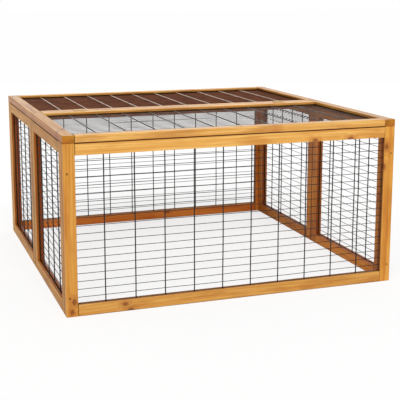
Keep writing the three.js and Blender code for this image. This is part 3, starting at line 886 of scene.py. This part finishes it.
def make_screw(name, place, facing, radius, length, body, finish):
    """A countersunk screw turned about its axis, with a cross sunk into its head.

    The cross is where the smaller of |x| and |y| is under its half width, inside its reach.
    """
    radii, heights = SCREW_PROFILE.T.copy()
    heights[:FROM_POINT] -= length / radius
    angle = np.arange(ROUND_SIDES) * 2 * math.pi / ROUND_SIDES
    narrow = radii[:, None] * np.minimum(abs(np.cos(angle)), abs(np.sin(angle)))
    cross = np.clip((CROSS_HALF_WIDTH - narrow) / CROSS_SOFTNESS + 0.5, 0, 1)
    cross *= np.clip((CROSS_REACH - radii[:, None]) / CROSS_SOFTNESS + 0.5, 0, 1)
    cross[:ON_HEAD] = 0
    top = place + SCREW_PROUD * facing
    rings = turned(top, facing, radius * heights, radius * radii, lift=-CROSS_DEPTH * radius * cross)
    return make_piece(name, sweep(rings[None]), finish, body, sharp=40)


def make_hinge_screw(node):
    """A hinge's own screw, sunk through its leaf with the head just proud of it."""
    low, high = frame_box(node)
    place = np.array([(low[0] + high[0]) / 2, (low[1] + high[1]) / 2, high[2]])
    length = high[2] - low[2]
    piece = make_screw(node + "_cross_head", place, axis_vector(2), HINGE_SCREW_RADIUS, length,
                       body_of(node), FINISHES["hinge_metal"])
    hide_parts(node)


def make_wall_screws():
    """Two screws through each stile of the front and rear walls, into the side wall behind."""
    for wall, half in (("front_wall", "front"), ("rear_wall", "rear")):
        axis, sign = OUTWARD[wall]
        for side in ("left", "right"):
            behind = sum(frame_box(f"{side}_{half}_wall_{half}_stile")) / 2
            low, high = frame_box(f"{wall}_{side}_stile")
            for number, height in enumerate(WALL_SCREW_HEIGHTS, start=1):
                place = np.array([behind[0], high[1] if sign > 0 else low[1], height])
                make_screw(f"{wall}_{side}_screw_{number}", place, axis_vector(axis, sign),
                           WALL_SCREW_RADIUS, WALL_SCREW_LENGTH, "frame", WALL_SCREW)


def make_lid_screws():
    """Two screws through each side member of the rear lid, down into the side wall."""
    for side in ("left", "right"):
        low, high = frame_box(f"rear_lid_{side}_side")
        behind = sum(frame_box(f"{side}_rear_wall_rear_stile")) / 2
        for number, y in enumerate((low[1] + LID_SCREW_INSET, high[1] - LID_SCREW_INSET), start=1):
            place = np.array([behind[0], y, high[2]])
            make_screw(f"rear_lid_{side}_screw_{number}", place, axis_vector(2),
                       WALL_SCREW_RADIUS, WALL_SCREW_LENGTH, "frame", WALL_SCREW)


# ---------------------------------------------------------------- build

SEEDS = iter(range(11, 400, 7))  # one for each batten and each sheet of mesh
for panel in OUTWARD:
    members = [name for name in sorted(frame["nodes"]) if name.startswith(panel + "_")]
    for node in members:
        if not node.endswith(("_mesh", "_cover")):
            make_batten(node, panel, next(SEEDS))
    make_mesh(panel, next(SEEDS))
make_cover()

for side in ("left", "right"):
    for node in sorted(name for name in frame["nodes"] if name.startswith(f"{side}_hinge_")):
        maker = make_hinge_screw if "_screw_" in node else make_pin if node.endswith("_pin") else make_leaf
        maker(node)
make_wall_screws()
make_lid_screws()

# ---------------------------------------------------------------- floor, light and camera

FLOOR_HALF = 40.0
FLOOR_GLOW = 1.03  # the floor is seen partly as an even white, so that its shadows stay faint
FLOOR_LIFT = 0.7
FLOOR_PATCH, FLOOR_SPECK = 0.6, 3 * MM
FLOOR_TONES = (colour(246, 246, 246), colour(250, 250, 250))
WORLD_SEEN = 1.0
WORLD_LIT = 0.5
LIGHTS = (  # name, kind, place, target, energy, and what else it is given
    ("key", "SUN", (-1.5, -3.7, 4.0), (0.0, 0.0, 0.0), 2.1, {"angle": math.radians(50)}),
    ("back panel", "AREA", (2.0, 6.0, 1.7), (0.0, 0.0, 0.5), 65.0,
     {"shape": "RECTANGLE", "size": 6.0, "size_y": 2.6}),
)
CAMERA_PLACE = (-1.11165, -3.33999, 1.01835)
CAMERA_TURN = (math.pi / 2 - 0.182, -0.001, -0.340)
CAMERA_LENS = 83.26  # on a sensor 36 wide, both in millimetres
CAMERA_SENSOR = 36.0
CAMERA_SHIFT = -0.10


def make_floor():
    """A plain pale floor at the ground plane, lifted a little towards white where it is seen."""
    corners = [(x * FLOOR_HALF, y * FLOOR_HALF, 0.0) for x, y in ((-1, -1), (1, -1), (1, 1), (-1, 1))]
    mesh = bpy.data.meshes.new("floor")
    mesh.from_pydata(corners, [], [(0, 1, 2, 3)])
    finish, tree, shader = new_finish("pale floor", Roughness=0.9, Specular_IOR_Level=0.1)
    place = add_node(tree, "ShaderNodeTexCoord").outputs["Object"]
    mottle = place_group(tree, MOTTLE, {"Place": place, "Patch Size": FLOOR_PATCH, "Speck Size": FLOOR_SPECK})
    tone = blend_colours(tree, mottle["Patches"], *FLOOR_TONES)
    tree.links.new(tone, shader["Base Color"])
    seen = add_node(tree, "ShaderNodeLightPath").outputs["Is Camera Ray"]
    glow = add_node(tree, "ShaderNodeEmission", {"Color": (1, 1, 1, 1), "Strength": FLOOR_GLOW})
    principled = tree.nodes["Principled BSDF"].outputs[0]
    share = arithmetic(tree, "MULTIPLY", seen, FLOOR_LIFT)
    lifted = add_node(tree, "ShaderNodeMixShader", {0: share, 1: principled, 2: glow.outputs[0]})
    tree.links.new(lifted.outputs[0], tree.nodes["Material Output"].inputs["Surface"])
    mesh.materials.append(finish)
    floor = bpy.data.objects.new("floor", mesh)
    bpy.context.scene.collection.objects.link(floor)


def place_light(name, kind, place, target, energy, settings):
    """A lamp of one kind that faces its target."""
    light = bpy.data.lights.new(name, kind)
    light.energy = energy
    for key, value in settings.items():
        setattr(light, key, value)
    lamp = bpy.data.objects.new(name, light)
    aim = Vector(target) - Vector(place)
    lamp.location = place
    lamp.rotation_euler = aim.to_track_quat("-Z", "Y").to_euler()
    bpy.context.scene.collection.objects.link(lamp)


def make_world(seen, lit):
    """A white surround that is seen at one strength and lights the scene at another."""
    world = bpy.data.worlds.new("white studio")
    world.use_nodes = True
    tree = world.node_tree
    tree.nodes.clear()
    path = add_node(tree, "ShaderNodeLightPath").outputs["Is Camera Ray"]
    strength = arithmetic(tree, "MULTIPLY_ADD", path, seen - lit, lit)
    surround = add_node(tree, "ShaderNodeBackground", {"Color": (1, 1, 1, 1), "Strength": strength})
    add_node(tree, "ShaderNodeOutputWorld", {"Surface": surround.outputs[0]})
    bpy.context.scene.world = world


def make_camera():
    """A camera a little above the lid, to the left of the middle of the front wall."""
    data = bpy.data.cameras.new("camera")
    data.sensor_width = CAMERA_SENSOR
    data.lens = CAMERA_LENS
    data.shift_y = CAMERA_SHIFT
    camera = bpy.data.objects.new("camera", data)
    camera.location = CAMERA_PLACE
    camera.rotation_euler = CAMERA_TURN
    bpy.context.scene.collection.objects.link(camera)
    bpy.context.scene.camera = camera


make_floor()
make_world(WORLD_SEEN, WORLD_LIT)
for name, kind, place, target, energy, settings in LIGHTS:
    place_light(name, kind, place, target, energy, settings)
make_camera()

bpy.context.scene.view_settings.view_transform = "Standard"
